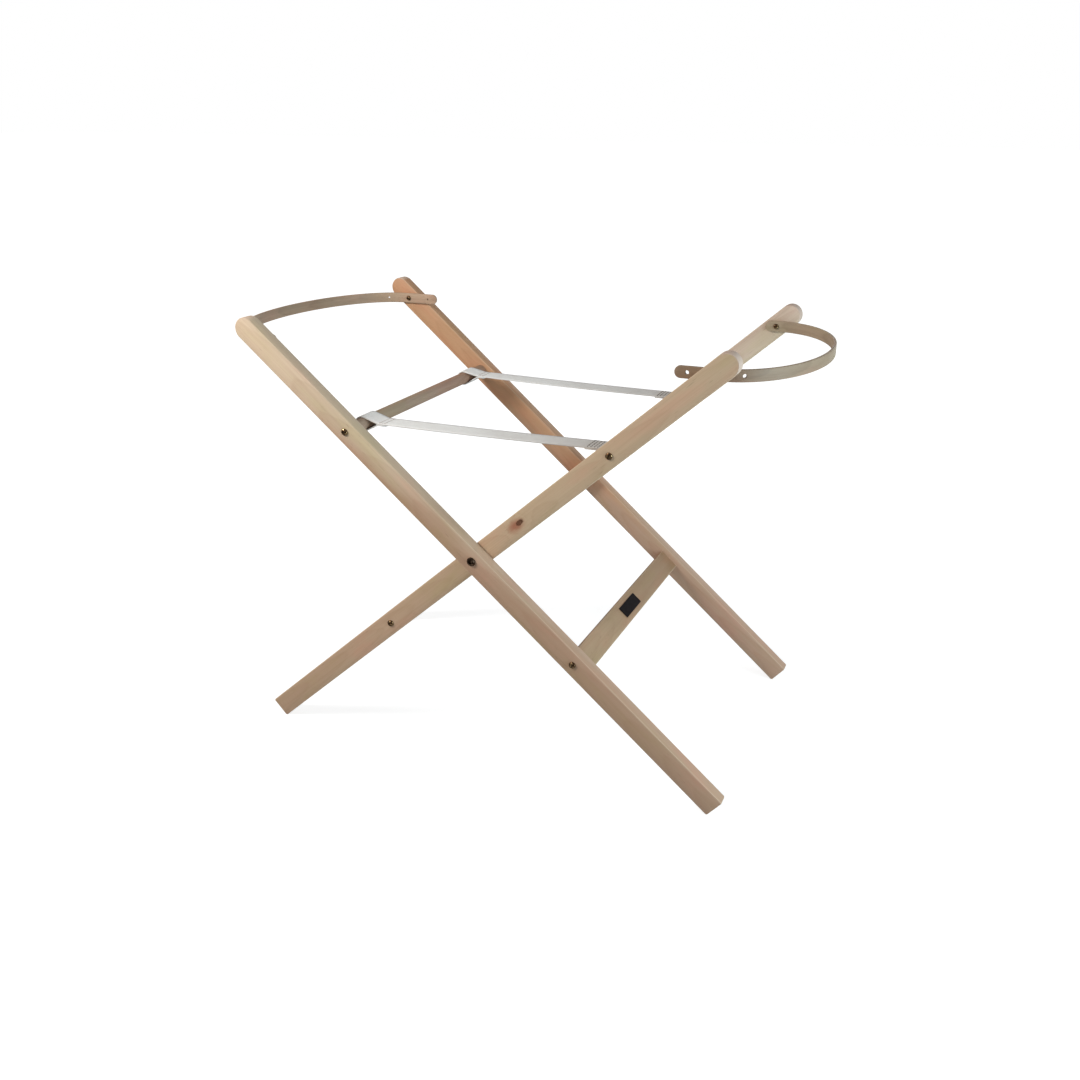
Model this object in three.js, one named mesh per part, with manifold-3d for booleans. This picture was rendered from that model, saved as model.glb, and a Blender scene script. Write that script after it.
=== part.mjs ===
// A folding stand for a Moses basket: an outer and an inner frame of pine cross and pivot on two
// bolts, two cotton straps hold them from opening too far, and two bentwood hoops steady the basket.
// Millimetres, +Z up, +X along the basket, -Y the front; the origin is on the floor under the middle.
import * as THREE from "three";
import { mergeVertices } from "three/addons/utils/BufferGeometryUtils.js";
import Module from "manifold-3d";

const wasm = await Module();
wasm.setup();

// Legs
const LEG_TILT = THREE.MathUtils.degToRad(48.9); // each leg leans this far from upright
const LEG_WIDTH = 28;
const LEG_THICK = 18;
const LEG_ABOVE = 407; // from the pivot to the rounded top
const LEG_BELOW = 422; // from the pivot to the square-cut foot
const LEG_ARRIS = 1.5; // eased edges
const STAND_DEPTH = 400; // over the outer legs
const LEG_GAP = 1.8; // between an outer leg and its inner leg
const FIT = 0.3; // clearance between pieces that touch

// Rails, with their places measured along the legs from the pivot
const UPPER_RAIL_RADIUS = 8;
const LOWER_RAIL = { across: 12, along: 31 };
const OUTER_RAILS = { upper: 219.5, lower: -181.5 };
const INNER_RAILS = { upper: 222, lower: -178 };
const RAIL_ARRIS = 1.5;
const LOWER_SCREW_RISE = 6; // above the board's middle
const DOWEL_DROP = 7; // below it
const DOWEL_RADIUS = 3;
const DOWEL_LENGTH = 24;

// Fasteners
const RAIL_SCREW = { head: 4.3, rise: 2.8, shank: 2.5, length: 52 };
const PIVOT_BOLT = { head: 5.6, rise: 3.2, shank: 3, length: 46.5 };
const PIVOT_SPACER_RADIUS = 8;
const PIVOT_WASHER = { radius: 6.5, thick: 1.2 };
const PIVOT_NUT = { radius: 5.8, thick: 5 };
const HOOP_SCREW = { head: 3.4, rise: 2.2, shank: 1.8, length: 17 };

// Hoops
const HOOP_UP = 371.5; // along the leg from the pivot
const STRIP_HEIGHT = 14;
const STRIP_THICK = 3.5;
const BOW_START = 4; // the strip leaves the leg this far past its screw
const BOW_REACH = 96.5; // how far the bow stands out beyond that
const HOLE_PITCH = 31.5; // between the three adjusting holes
const HOLE_RADIUS = 2.3;
const HOLE_TO_END = 14.5;
const BOW_STEPS = 28;

// Straps and patch
const STRAP_WIDTH = 30;
const STRAP_THICK = 1.6;
const FRONT_STRAP = { y: -145, rise: 1.5, skew: 0 }; // rise: its left junction, above the rail's middle
const BACK_STRAP = { y: 132, rise: 4, skew: -0.036 }; // skew: how far it strays in Y for each step in X
const LEFT_REACH = 22.5; // from the rail's middle to the stitched junction
const RIGHT_REACH = 18.5;
const RIGHT_RISE = 0.5;
const PATCH = { length: 58, width: 16.5, thick: 0.6, y: -5 };

const ROUND_SIDES = 24;
const RAIL_SIDES = 32;
const INNER_FACE = STAND_DEPTH / 2 - LEG_THICK; // inner face of an outer leg
const NEST_FACE = INNER_FACE - LEG_GAP; // outer face of an inner leg
const NEST_INNER_FACE = NEST_FACE - LEG_THICK; // inner face of an inner leg
const COS = Math.cos(LEG_TILT);
const SIN = Math.sin(LEG_TILT);
const PIVOT_Z = Math.max(
  LEG_BELOW * COS + (LEG_WIDTH / 2 - LEG_ARRIS) * SIN,
  (LEG_BELOW - LEG_ARRIS) * COS + (LEG_WIDTH / 2) * SIN,
);

const pine = { color: 0xc9a883, roughness: 0.62, metalness: 0 };
const bentwood = { color: 0xa8967c, roughness: 0.6, metalness: 0 };
const beech = { color: 0xb98f63, roughness: 0.7, metalness: 0 };
const bronze = { color: 0x6e5537, roughness: 0.35, metalness: 1 };
const darkSteel = { color: 0x3c3632, roughness: 0.4, metalness: 1 };
const zinc = { color: 0x9a9a98, roughness: 0.4, metalness: 1 };
const cotton = { color: 0xd8d5cf, roughness: 0.9, metalness: 0 };
const blackVinyl = { color: 0x201c1c, roughness: 0.5, metalness: 0 };

// A geometry as a closed manifold solid, and back again.
function toSolid(geometry) {
  const plain = geometry.clone();
  plain.deleteAttribute("normal");
  plain.deleteAttribute("uv");
  const merged = mergeVertices(plain, 1e-4);
  return new wasm.Manifold(
    new wasm.Mesh({
      numProp: 3,
      vertProperties: merged.attributes.position.array,
      triVerts: new Uint32Array(merged.index.array),
    }),
  );
}

function toGeometry(solid) {
  const mesh = solid.getMesh();
  const geometry = new THREE.BufferGeometry();
  geometry.setAttribute("position", new THREE.BufferAttribute(mesh.vertProperties, 3));
  geometry.setIndex(new THREE.BufferAttribute(mesh.triVerts, 1));
  geometry.computeVertexNormals();
  return geometry;
}

function cut(geometry, ...tools) {
  return toGeometry(tools.reduce((solid, tool) => solid.subtract(toSolid(tool)), toSolid(geometry)));
}

function piece(name, geometry, finish) {
  const mesh = new THREE.Mesh(geometry, new THREE.MeshStandardMaterial(finish));
  mesh.name = name;
  return mesh;
}

// A prism whose outline lies in the XZ plane and whose depth is centred on Y.
function slab(shape, depth, arris = 0) {
  const geometry = new THREE.ExtrudeGeometry(shape, {
    depth: depth - 2 * arris,
    bevelEnabled: arris > 0,
    bevelThickness: arris,
    bevelSize: arris,
    bevelOffset: -arris,
    bevelSegments: 2,
    curveSegments: 14,
  });
  geometry.translate(0, 0, arris - depth / 2);
  return geometry.rotateX(Math.PI / 2);
}

// A drill along Y, wide of its shank by the running clearance.
function drill(radius, y0, y1, x, z) {
  const geometry = new THREE.CylinderGeometry(radius + FIT, radius + FIT, Math.abs(y1 - y0), ROUND_SIDES);
  return geometry.translate(x, (y0 + y1) / 2, z);
}

// The leg's outline: a half-round top and a square-cut foot with eased corners.
function legShape() {
  const half = LEG_WIDTH / 2;
  const shape = new THREE.Shape();
  shape.moveTo(-half + LEG_ARRIS, -LEG_BELOW);
  shape.lineTo(half - LEG_ARRIS, -LEG_BELOW);
  shape.lineTo(half, -LEG_BELOW + LEG_ARRIS);
  shape.lineTo(half, LEG_ABOVE - half);
  shape.absarc(0, LEG_ABOVE - half, half, 0, Math.PI, false);
  shape.lineTo(-half, -LEG_BELOW + LEG_ARRIS);
  shape.closePath();
  return shape;
}

// side is -1 at the front and 1 at the back; outside and inside are the leg's faces along Y.
function leg(name, side, outside, inside, rails) {
  const body = slab(legShape(), LEG_THICK, LEG_ARRIS).translate(0, (side * (outside + inside)) / 2, 0);
  const through = (radius, z) => drill(radius, side * (outside + 5), side * (inside - 5), 0, z);
  const blind = (radius, depth, z) => drill(radius, side * (inside + depth), side * (inside - 5), 0, z);
  const drilled = cut(
    body,
    through(PIVOT_BOLT.shank, 0),
    through(RAIL_SCREW.shank, rails.upper),
    through(RAIL_SCREW.shank, rails.lower + LOWER_SCREW_RISE),
    blind(DOWEL_RADIUS, DOWEL_LENGTH / 2 + FIT, rails.lower - DOWEL_DROP),
    blind(HOOP_SCREW.shank, HOOP_SCREW.length - STRIP_THICK, HOOP_UP),
  );
  return piece(name, drilled, pine);
}

// The lower rail's board between two legs' inner faces, with its arrises eased.
function boardRail(face) {
  const shape = new THREE.Shape();
  const x = LOWER_RAIL.across / 2 - RAIL_ARRIS;
  const z = LOWER_RAIL.along / 2 - RAIL_ARRIS;
  shape.moveTo(x + RAIL_ARRIS, -z);
  shape.absarc(x, z, RAIL_ARRIS, 0, Math.PI / 2, false);
  shape.absarc(-x, z, RAIL_ARRIS, Math.PI / 2, Math.PI, false);
  shape.absarc(-x, -z, RAIL_ARRIS, Math.PI, 1.5 * Math.PI, false);
  shape.absarc(x, -z, RAIL_ARRIS, 1.5 * Math.PI, 2 * Math.PI, false);
  const geometry = new THREE.ExtrudeGeometry(shape, {
    depth: 2 * (face - FIT),
    bevelEnabled: false,
    curveSegments: 3,
  });
  return geometry.translate(0, 0, FIT - face).rotateX(Math.PI / 2);
}

// The upper rail's round bar between two legs' inner faces.
function roundRail(face) {
  return new THREE.CylinderGeometry(UPPER_RAIL_RADIUS, UPPER_RAIL_RADIUS, 2 * (face - FIT), RAIL_SIDES);
}

// A rail with its ends drilled, at its place along the legs.
function rail(name, geometry, at, face, holes) {
  const drills = [-1, 1].flatMap((side) =>
    holes.map(({ radius, depth, rise }) =>
      drill(radius, side * (face - depth), side * (face + 5), 0, rise),
    ),
  );
  return piece(name, cut(geometry, ...drills).translate(0, 0, at), pine);
}

// A domed screw or bolt along Y, head outwards at the given face and shank towards the middle.
function screw(name, size, side, face, z, finish) {
  const profile = [new THREE.Vector2(0, -size.length), new THREE.Vector2(size.shank, -size.length)];
  profile.push(new THREE.Vector2(size.shank, FIT), new THREE.Vector2(size.head, FIT));
  const edge = FIT + size.rise * 0.25;
  for (let i = 0; i <= 4; i++) {
    const turn = (i / 4) * (Math.PI / 2);
    profile.push(
      new THREE.Vector2(size.head * Math.cos(turn), edge + size.rise * 0.75 * Math.sin(turn)),
    );
  }
  profile[profile.length - 1].x = 0;
  const geometry = new THREE.LatheGeometry(profile, ROUND_SIDES);
  if (side < 0) geometry.rotateX(Math.PI);
  return piece(name, geometry.translate(0, side * face, z), finish);
}

function ring(name, outer, bore, thick, y, finish, sides = ROUND_SIDES) {
  const disc = new THREE.CylinderGeometry(outer, outer, thick, sides).translate(0, y, 0);
  return piece(name, cut(disc, drill(bore, y - thick, y + thick, 0, 0)), finish);
}

// What both frames share: two legs, two rails, their screws and the lower rail's dowels.
function frame(name, outside, inside, rails) {
  const group = new THREE.Group();
  group.position.z = PIVOT_Z;
  const screwHole = { radius: RAIL_SCREW.shank, depth: RAIL_SCREW.length - LEG_THICK + 2 };
  const dowelHole = { radius: DOWEL_RADIUS, depth: DOWEL_LENGTH / 2 + FIT, rise: -DOWEL_DROP };
  const upperHoles = [{ ...screwHole, rise: 0 }];
  const lowerHoles = [{ ...screwHole, rise: LOWER_SCREW_RISE }, dowelHole];
  const screwUp = { upper: rails.upper, lower: rails.lower + LOWER_SCREW_RISE };
  group.add(rail(`${name}_upper_rail`, roundRail(inside), rails.upper, inside, upperHoles));
  group.add(rail(`${name}_lower_rail`, boardRail(inside), rails.lower, inside, lowerHoles));
  for (const [end, side] of [["front", -1], ["back", 1]]) {
    group.add(leg(`${name}_leg_${end}`, side, outside, inside, rails));
    for (const level of ["upper", "lower"]) {
      const screwName = `${name}_${level}_screw_${end}`;
      group.add(screw(screwName, RAIL_SCREW, side, outside, screwUp[level], bronze));
    }
    const dowel = new THREE.CylinderGeometry(DOWEL_RADIUS, DOWEL_RADIUS, DOWEL_LENGTH, ROUND_SIDES);
    dowel.translate(0, side * inside, rails.lower - DOWEL_DROP);
    group.add(piece(`${name}_lower_dowel_${end}`, dowel, beech));
  }
  return group;
}

// The bolts that join the frames, each with a spacer between its legs and a washer and nut inside.
function pivots() {
  const group = new THREE.Group();
  group.position.z = PIVOT_Z;
  for (const [end, side] of [["front", -1], ["back", 1]]) {
    group.add(screw(`pivot_bolt_${end}`, PIVOT_BOLT, side, STAND_DEPTH / 2, 0, darkSteel));
    const spacerY = side * (INNER_FACE - LEG_GAP / 2);
    const spacerThick = LEG_GAP - 2 * FIT;
    const bore = PIVOT_BOLT.shank;
    group.add(ring(`pivot_spacer_${end}`, PIVOT_SPACER_RADIUS, bore, spacerThick, spacerY, darkSteel));
    const washerY = side * (NEST_INNER_FACE - FIT - PIVOT_WASHER.thick / 2);
    group.add(
      ring(`pivot_washer_${end}`, PIVOT_WASHER.radius, bore, PIVOT_WASHER.thick, washerY, zinc),
    );
    const nutY = washerY - side * (PIVOT_WASHER.thick / 2 + FIT + PIVOT_NUT.thick / 2);
    group.add(ring(`pivot_nut_${end}`, PIVOT_NUT.radius, bore, PIVOT_NUT.thick, nutY, zinc, 6));
  }
  return group;
}

// The strip seen from above, bowed out along +X between its two legs' inner faces at +-face.
// It is a half ellipse with straight tails, at full thickness all the way round.
function bowShape(face, tailFront, tailBack) {
  const reach = BOW_REACH - STRIP_THICK / 2;
  const half = face - FIT - STRIP_THICK / 2;
  const line = [new THREE.Vector2(-tailFront, -half)];
  for (let i = 0; i <= BOW_STEPS; i++) {
    const turn = (i / BOW_STEPS - 0.5) * Math.PI;
    line.push(new THREE.Vector2(BOW_START + reach * Math.cos(turn), half * Math.sin(turn)));
  }
  line.push(new THREE.Vector2(-tailBack, half));
  const edge = (side) =>
    line.map((point, i) => {
      const before = line[Math.max(i - 1, 0)];
      const after = line[Math.min(i + 1, line.length - 1)];
      const along = after.clone().sub(before).normalize();
      return new THREE.Vector2(along.y, -along.x).multiplyScalar((side * STRIP_THICK) / 2).add(point);
    });
  return new THREE.Shape([...edge(1), ...edge(-1).reverse()]);
}

// The strip's side view, which rounds its two ends.
function stripSideShape(tail) {
  const shape = new THREE.Shape();
  const radius = STRIP_HEIGHT / 2;
  shape.moveTo(2 * BOW_REACH, radius);
  shape.absarc(radius - tail, 0, radius, Math.PI / 2, 1.5 * Math.PI, false);
  shape.lineTo(2 * BOW_REACH, -radius);
  shape.closePath();
  return shape;
}

// One hoop, bowing along +X with its three-hole tail at the front; its screws are on x = 0.
function hoopGeometry(face) {
  const longTail = HOLE_PITCH + HOLE_TO_END;
  const flat = new THREE.ExtrudeGeometry(bowShape(face, longTail, HOLE_TO_END), {
    depth: STRIP_HEIGHT,
    bevelEnabled: false,
  }).translate(0, 0, -STRIP_HEIGHT / 2);
  const frontEnd = slab(stripSideShape(longTail), face + 5).translate(0, 1 - (face + 5) / 2, 0);
  const backEnd = slab(stripSideShape(HOLE_TO_END), face + 5).translate(0, (face + 5) / 2 - 1, 0);
  const rounded = toSolid(flat).intersect(toSolid(frontEnd).add(toSolid(backEnd)));
  const drillRadius = HOLE_RADIUS - FIT;
  const holes = [-HOLE_PITCH, 0, HOLE_PITCH].map((x) => drill(drillRadius, -face - 5, -face + 40, x, 0));
  holes.push(drill(drillRadius, face - 40, face + 5, 0, 0));
  return cut(toGeometry(rounded), ...holes);
}

// A hoop on its leg tops with its two screws; the left one is the same strip turned end for end.
function hoop(name, face, turn) {
  const group = new THREE.Group();
  const side = Math.cos(turn);
  group.position.set(side * HOOP_UP * SIN, 0, PIVOT_Z + HOOP_UP * COS);
  const strip = piece(name, hoopGeometry(face), bentwood);
  strip.rotation.z = turn;
  group.add(strip);
  for (const [end, direction] of [["front", -1], ["back", 1]]) {
    const seat = face - FIT - STRIP_THICK;
    const fixing = screw(`${name}_screw_${end}`, HOOP_SCREW, -direction, 0, 0, bronze);
    fixing.position.y = direction * seat;
    group.add(fixing);
  }
  return group;
}

// The convex outline round a rail and the strap's stitched junction, grown by a margin.
// Points run anticlockwise, with a round corner at each.
function loopOutline(centre, tip, margin) {
  const corners = [tip];
  for (let i = 0; i < 16; i++) {
    const turn = (i / 8) * Math.PI;
    const around = new THREE.Vector2(Math.cos(turn), Math.sin(turn));
    corners.push(around.multiplyScalar(UPPER_RAIL_RADIUS).add(centre));
  }
  const hull = convexHull(corners);
  const points = [];
  hull.forEach((corner, i) => {
    const before = corner.clone().sub(hull.at(i - 1));
    const after = hull[(i + 1) % hull.length].clone().sub(corner);
    const start = Math.atan2(-before.x, before.y);
    let end = Math.atan2(-after.x, after.y);
    if (end < start) end += 2 * Math.PI;
    for (let k = 0; k <= 3; k++) {
      const turn = start + ((end - start) * k) / 3;
      points.push(new THREE.Vector2(Math.cos(turn), Math.sin(turn)).multiplyScalar(margin).add(corner));
    }
  });
  return points;
}

function convexHull(points) {
  const sorted = [...points].sort((a, b) => a.x - b.x || a.y - b.y);
  const half = (list) => {
    const chain = [];
    for (const point of list) {
      while (chain.length > 1 && turns(chain.at(-2), chain.at(-1), point) <= 0) chain.pop();
      chain.push(point);
    }
    return chain.slice(0, -1);
  };
  return [...half(sorted), ...half(sorted.reverse())];
}

function turns(a, b, c) {
  return (b.x - a.x) * (c.y - a.y) - (b.y - a.y) * (c.x - a.x);
}

// A strap: a loop round each upper rail and a flat band between their junctions.
function strap(name, { y, rise, skew }) {
  const ends = [
    { up: OUTER_RAILS.upper, side: -1, reach: LEFT_REACH, tipRise: rise },
    { up: INNER_RAILS.upper, side: 1, reach: RIGHT_REACH, tipRise: RIGHT_RISE },
  ].map(({ up, side, reach, tipRise }) => {
    const centre = new THREE.Vector2(side * up * SIN, up * COS);
    return { centre, tip: new THREE.Vector2(-side * reach, tipRise).add(centre) };
  });
  const loops = ends.map(({ centre, tip }) => {
    const shape = new THREE.Shape(loopOutline(centre, tip, FIT + STRAP_THICK));
    shape.holes.push(new THREE.Path(loopOutline(centre, tip, FIT)));
    return toSolid(slab(shape, STRAP_WIDTH));
  });
  const [left, right] = ends.map(({ tip }) => tip);
  const run = right.clone().sub(left);
  const middle = left.clone().add(right).divideScalar(2);
  const band = new THREE.BoxGeometry(run.length(), STRAP_WIDTH, 2 * STRAP_THICK);
  band.rotateY(-run.angle()).translate(middle.x, 0, middle.y);
  const joined = loops.reduce((solid, loop) => solid.add(loop), toSolid(band));
  const slanted = toGeometry(joined).applyMatrix4(new THREE.Matrix4().makeShear(skew, 0, 0, 0, 0, 0));
  const mesh = piece(name, slanted, cotton);
  mesh.position.set(0, y, PIVOT_Z);
  return mesh;
}

// The blank patch on the outer lower rail's broad face.
function patch() {
  const geometry = new THREE.BoxGeometry(PATCH.thick, PATCH.length, PATCH.width);
  const x = LOWER_RAIL.across / 2 + FIT + PATCH.thick / 2;
  return piece("rail_patch", geometry.translate(x, PATCH.y, OUTER_RAILS.lower), blackVinyl);
}

const stand = new THREE.Group();

const outerFrame = frame("outer", STAND_DEPTH / 2, INNER_FACE, OUTER_RAILS);
outerFrame.rotation.y = -LEG_TILT;
outerFrame.add(patch());
stand.add(outerFrame);

const innerFrame = frame("inner", NEST_FACE, NEST_INNER_FACE, INNER_RAILS);
innerFrame.rotation.y = LEG_TILT;
stand.add(innerFrame);

stand.add(pivots());
stand.add(hoop("left_hoop", INNER_FACE, Math.PI));
stand.add(hoop("right_hoop", NEST_INNER_FACE, 0));
stand.add(strap("strap_front", FRONT_STRAP));
stand.add(strap("strap_back", BACK_STRAP));

export default stand;
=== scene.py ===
import math

import bmesh
import bpy
from mathutils import Matrix, Vector


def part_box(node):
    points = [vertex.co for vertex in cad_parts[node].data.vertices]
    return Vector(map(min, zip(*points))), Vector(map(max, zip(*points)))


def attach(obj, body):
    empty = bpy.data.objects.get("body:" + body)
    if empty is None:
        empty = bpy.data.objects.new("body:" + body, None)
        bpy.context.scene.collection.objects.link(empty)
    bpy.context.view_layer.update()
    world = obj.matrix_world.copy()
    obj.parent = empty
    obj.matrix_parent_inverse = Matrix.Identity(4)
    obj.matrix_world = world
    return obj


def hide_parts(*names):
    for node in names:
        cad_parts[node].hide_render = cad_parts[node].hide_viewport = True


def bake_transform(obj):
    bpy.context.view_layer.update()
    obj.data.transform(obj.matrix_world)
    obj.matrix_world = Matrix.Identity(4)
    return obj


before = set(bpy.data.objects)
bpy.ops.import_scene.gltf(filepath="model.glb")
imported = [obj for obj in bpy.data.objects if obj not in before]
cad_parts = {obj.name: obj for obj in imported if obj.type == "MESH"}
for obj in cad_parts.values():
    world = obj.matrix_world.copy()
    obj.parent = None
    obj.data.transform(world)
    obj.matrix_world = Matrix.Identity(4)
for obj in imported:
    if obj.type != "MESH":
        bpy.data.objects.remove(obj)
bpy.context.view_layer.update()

# Camera: it looks down at the stand from the front and the right, from about standing height,
# so that the two inner legs line up and the two outer ones are seen apart.
CAMERA_PLACE = (0.569, -1.3367, 0.7922)
CAMERA_AZIMUTH, CAMERA_ELEVATION, CAMERA_ROLL = (math.radians(a) for a in (20.83, 22.81, 0.47))
camera_data = bpy.data.cameras.new("camera")
camera_data.lens = 37.41
camera_data.shift_x = -0.0336
camera_data.shift_y = 0.0396
camera = bpy.data.objects.new("camera", camera_data)
camera.matrix_world = (
    Matrix.Translation(CAMERA_PLACE)
    @ Matrix.Rotation(CAMERA_AZIMUTH, 4, "Z")
    @ Matrix.Rotation(math.pi / 2 - CAMERA_ELEVATION, 4, "X")
    @ Matrix.Rotation(CAMERA_ROLL, 4, "Z")
)
bpy.context.collection.objects.link(camera)
bpy.context.scene.camera = camera

# Lights: a warm softbox close by at the front left, a wider, cooler one low on the right that
# catches the upper edges of the legs, a soft one behind, and a white room that fills the shadows.
LIGHTS = {
    "key_softbox": {"place": (-0.85, -0.9, 1.2), "size": 0.4, "power": 14.3, "colour": (1.0, 0.985, 0.96)},
    "side_softbox": {"place": (1.35, -0.3, 0.4), "size": 0.9, "power": 15.0, "colour": (0.7, 0.9, 1.0)},
    "back_softbox": {"place": (0.2, 1.8, 0.5), "size": 1.2, "power": 8.0, "colour": (1.0, 1.0, 1.0)},
}
AIM_POINT = Vector((0, 0, 0.3))
ROOM_FILL = 0.26
for name, light in LIGHTS.items():
    softbox = bpy.data.lights.new(name, "AREA")
    softbox.size = light["size"]
    softbox.energy = light["power"]
    softbox.color = light["colour"]
    holder = bpy.data.objects.new(name, softbox)
    aim = AIM_POINT - Vector(light["place"])
    turn = aim.to_track_quat("-Z", "Y").to_matrix().to_4x4()
    holder.matrix_world = Matrix.Translation(light["place"]) @ turn
    bpy.context.collection.objects.link(holder)
room = bpy.data.worlds.new("white_room")
room.use_nodes = True
walls = room.node_tree.nodes["Background"]
walls.inputs["Color"].default_value = (1, 1, 1, 1)
seen = room.node_tree.nodes.new("ShaderNodeLightPath")
wall_light = room.node_tree.nodes.new("ShaderNodeMapRange")
wall_light.inputs["To Min"].default_value = ROOM_FILL
wall_light.inputs["To Max"].default_value = 1.0
room.node_tree.links.new(seen.outputs["Is Camera Ray"], wall_light.inputs["Value"])
room.node_tree.links.new(wall_light.outputs["Result"], walls.inputs["Strength"])
bpy.context.scene.world = room
bpy.context.scene.view_settings.view_transform = "Standard"


# Floor: a plain pale studio floor under the four feet, painted matt, with a painted glow that only the
# camera sees, weaker by the stand so that its shadows show and stronger away from it until it meets the
# white of the room.
def new_piece(name, mesh, material):
    """A finished bmesh as an object at the origin."""
    data = bpy.data.meshes.new(name)
    mesh.to_mesh(data)
    mesh.free()
    data.materials.append(material)
    piece = bpy.data.objects.new(name, data)
    bpy.context.collection.objects.link(piece)
    return piece


def add_node(tree, kind, inputs=(), **settings):
    """A shader node with its inputs set, or linked where the value is another node's socket."""
    made = tree.nodes.new("ShaderNode" + kind)
    for name, value in settings.items():
        setattr(made, name, value)
    for key, value in dict(inputs).items():
        if isinstance(value, bpy.types.NodeSocket):
            tree.links.new(value, made.inputs[key])
        else:
            made.inputs[key].default_value = value
    return made


def maths(tree, operation, *values):
    """The result of a Math node."""
    return add_node(tree, "Math", enumerate(values), operation=operation).outputs[0]


def times(tree, first, second):
    """Two values multiplied."""
    return maths(tree, "MULTIPLY", first, second)


def blend_colour(tree, amount, first, second, mode="MIX"):
    """Two colours mixed by an amount."""
    mix = add_node(tree, "Mix", {0: amount, 6: first, 7: second}, data_type="RGBA", blend_type=mode)
    return mix.outputs[2]


def new_material(name, **plain):
    """A material, its node tree and its Principled shader, with the shader's plain values set."""
    material = bpy.data.materials.new(name)
    material.use_nodes = True
    shader = material.node_tree.nodes["Principled BSDF"]
    for socket, value in plain.items():
        shader.inputs[socket.replace("_", " ")].default_value = value
    return material, material.node_tree, shader


FLOOR_SIZE = 30.0
DARK_PAINT, LIGHT_PAINT = (0.42, 0.42, 0.42, 1), (0.45, 0.45, 0.45, 1)
floor_paint_and_glow, tree, shader = new_material("floor_paint_and_glow", Roughness=0.9)
floor_place = add_node(tree, "TexCoord").outputs["Object"]
mottle = add_node(tree, "TexNoise", {"Vector": floor_place, "Scale": 3.0, "Detail": 4.0}).outputs["Fac"]
tree.links.new(blend_colour(tree, mottle, DARK_PAINT, LIGHT_PAINT), shader.inputs["Base Color"])
shader.inputs["Emission Color"].default_value = (1, 1, 1, 1)
# Painted light: the floor glows for camera rays only, from 0.78 by the stand up to 1.0 further out,
# standing in for the lamps' light that fades with distance.
far_off = add_node(tree, "VectorMath", {0: floor_place}, operation="LENGTH").outputs["Value"]
far_inputs = {"Value": far_off, "From Min": 0.4, "From Max": 1.2, "To Min": 0.78, "To Max": 1.0}
glow = add_node(tree, "MapRange", far_inputs).outputs[0]
glow = times(tree, glow, add_node(tree, "LightPath").outputs["Is Camera Ray"])
tree.links.new(glow, shader.inputs["Emission Strength"])
ground = bmesh.new()
bmesh.ops.create_grid(ground, x_segments=1, y_segments=1, size=FLOOR_SIZE)
floor = new_piece("floor", ground, floor_paint_and_glow)

# Legs: four straight boards of planed pine with a thin satin finish, half-round tops and square-cut
# feet. The outer pair leans to the left and the inner pair, nested between them, to the right, and
# the two pairs turn against each other on two bolts.
def middle(node):
    """The centre of a CAD node's box."""
    low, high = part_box(node)
    return (low + high) / 2


LEG_HALF_WIDTH, LEG_HALF_THICKNESS = 0.014, 0.009
LEG_TOP, LEG_FOOT = 0.407, -0.422
PIVOT = Vector((0, 0, middle("pivot_bolt_front").z))
outer_foot = middle("outer_lower_screw_front")
outer_head = middle("outer_upper_screw_front")
LEG_TILT = math.atan2(outer_foot.x - outer_head.x, outer_head.z - outer_foot.z)


def new_group(name, inputs, outputs):
    """An empty shader node group; a socket's kind is Float, Vector or Color."""
    group = bpy.data.node_groups.new(name, "ShaderNodeTree")
    for direction, sockets in (("INPUT", inputs), ("OUTPUT", outputs)):
        for socket, kind in sockets.items():
            group.interface.new_socket(socket, in_out=direction, socket_type="NodeSocket" + kind)
    return group, group.nodes.new("NodeGroupInput").outputs, group.nodes.new("NodeGroupOutput").inputs


def plus(tree, first, second):
    """Two values added."""
    return maths(tree, "ADD", first, second)


def less(tree, first, second):
    """The second value taken from the first."""
    return maths(tree, "SUBTRACT", first, second)


def step_between(tree, value, low, high):
    """0 below low and 1 above high, with a smooth rise between; low over high turns it round."""
    inputs = {"Value": value, "From Min": low, "From Max": high}
    return add_node(tree, "MapRange", inputs, interpolation_type="SMOOTHSTEP").outputs[0]


def stretched_noise(tree, vector, across, along, detail, seed):
    """Noise that runs along the board: across and along are its scales per metre."""
    place = add_node(tree, "VectorMath", {0: vector, 1: (across, across, along)}, operation="MULTIPLY")
    moved = add_node(tree, "VectorMath", {0: place.outputs[0], 1: seed}, operation="ADD")
    inputs = {"Vector": moved.outputs[0], "Scale": 1.0, "Detail": detail, "Roughness": 0.55}
    return add_node(tree, "TexNoise", inputs).outputs["Fac"]


# Pine's growth rings show as long arcs on the wide faces, with fine fibres, resin flecks, a few
# knots, sanded arrises and paler cut ends. The same pattern serves every wooden piece.
RINGS_PER_METRE = 360
PITH_DEPTH, PITH_LEAN = 0.05, 0.035
ARRIS_WIDTH = 0.0021
KNOT_SHAPE = (1.0, 0.12, 0.62)
BLUSH, SALLOW = (1.08, 0.93, 0.95, 1), (0.93, 0.98, 0.86, 1)
RESIN_FLECK, SANDED_ARRIS = (0.16, 0.07, 0.03, 1), (0.78, 0.62, 0.45, 1)
KNOT_RIM, KNOT_HEART = (0.4, 0.12, 0.06, 1), (0.095, 0.034, 0.012, 1)
pine_group, given, result = new_group(
    "planed_pine",
    {
        "Board": "Vector", "Upper Tone": "Color", "Lower Tone": "Color", "Late Tone": "Color",
        "End Tone": "Color", "Grain": "Float", "Seed": "Float", "Tone Change": "Float",
        "Knot Place": "Vector", "Knot Size": "Float", "Half Width": "Float", "Half Thickness": "Float",
        "Top End": "Float", "Foot End": "Float",
    },
    {"Color": "Color", "Roughness": "Float", "Height": "Float"},
)
tree = pine_group
board = given["Board"]
axis = add_node(tree, "SeparateXYZ", {0: board}).outputs
seed_place = add_node(tree, "CombineXYZ", {i: given["Seed"] for i in range(3)}).outputs[0]
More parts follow.
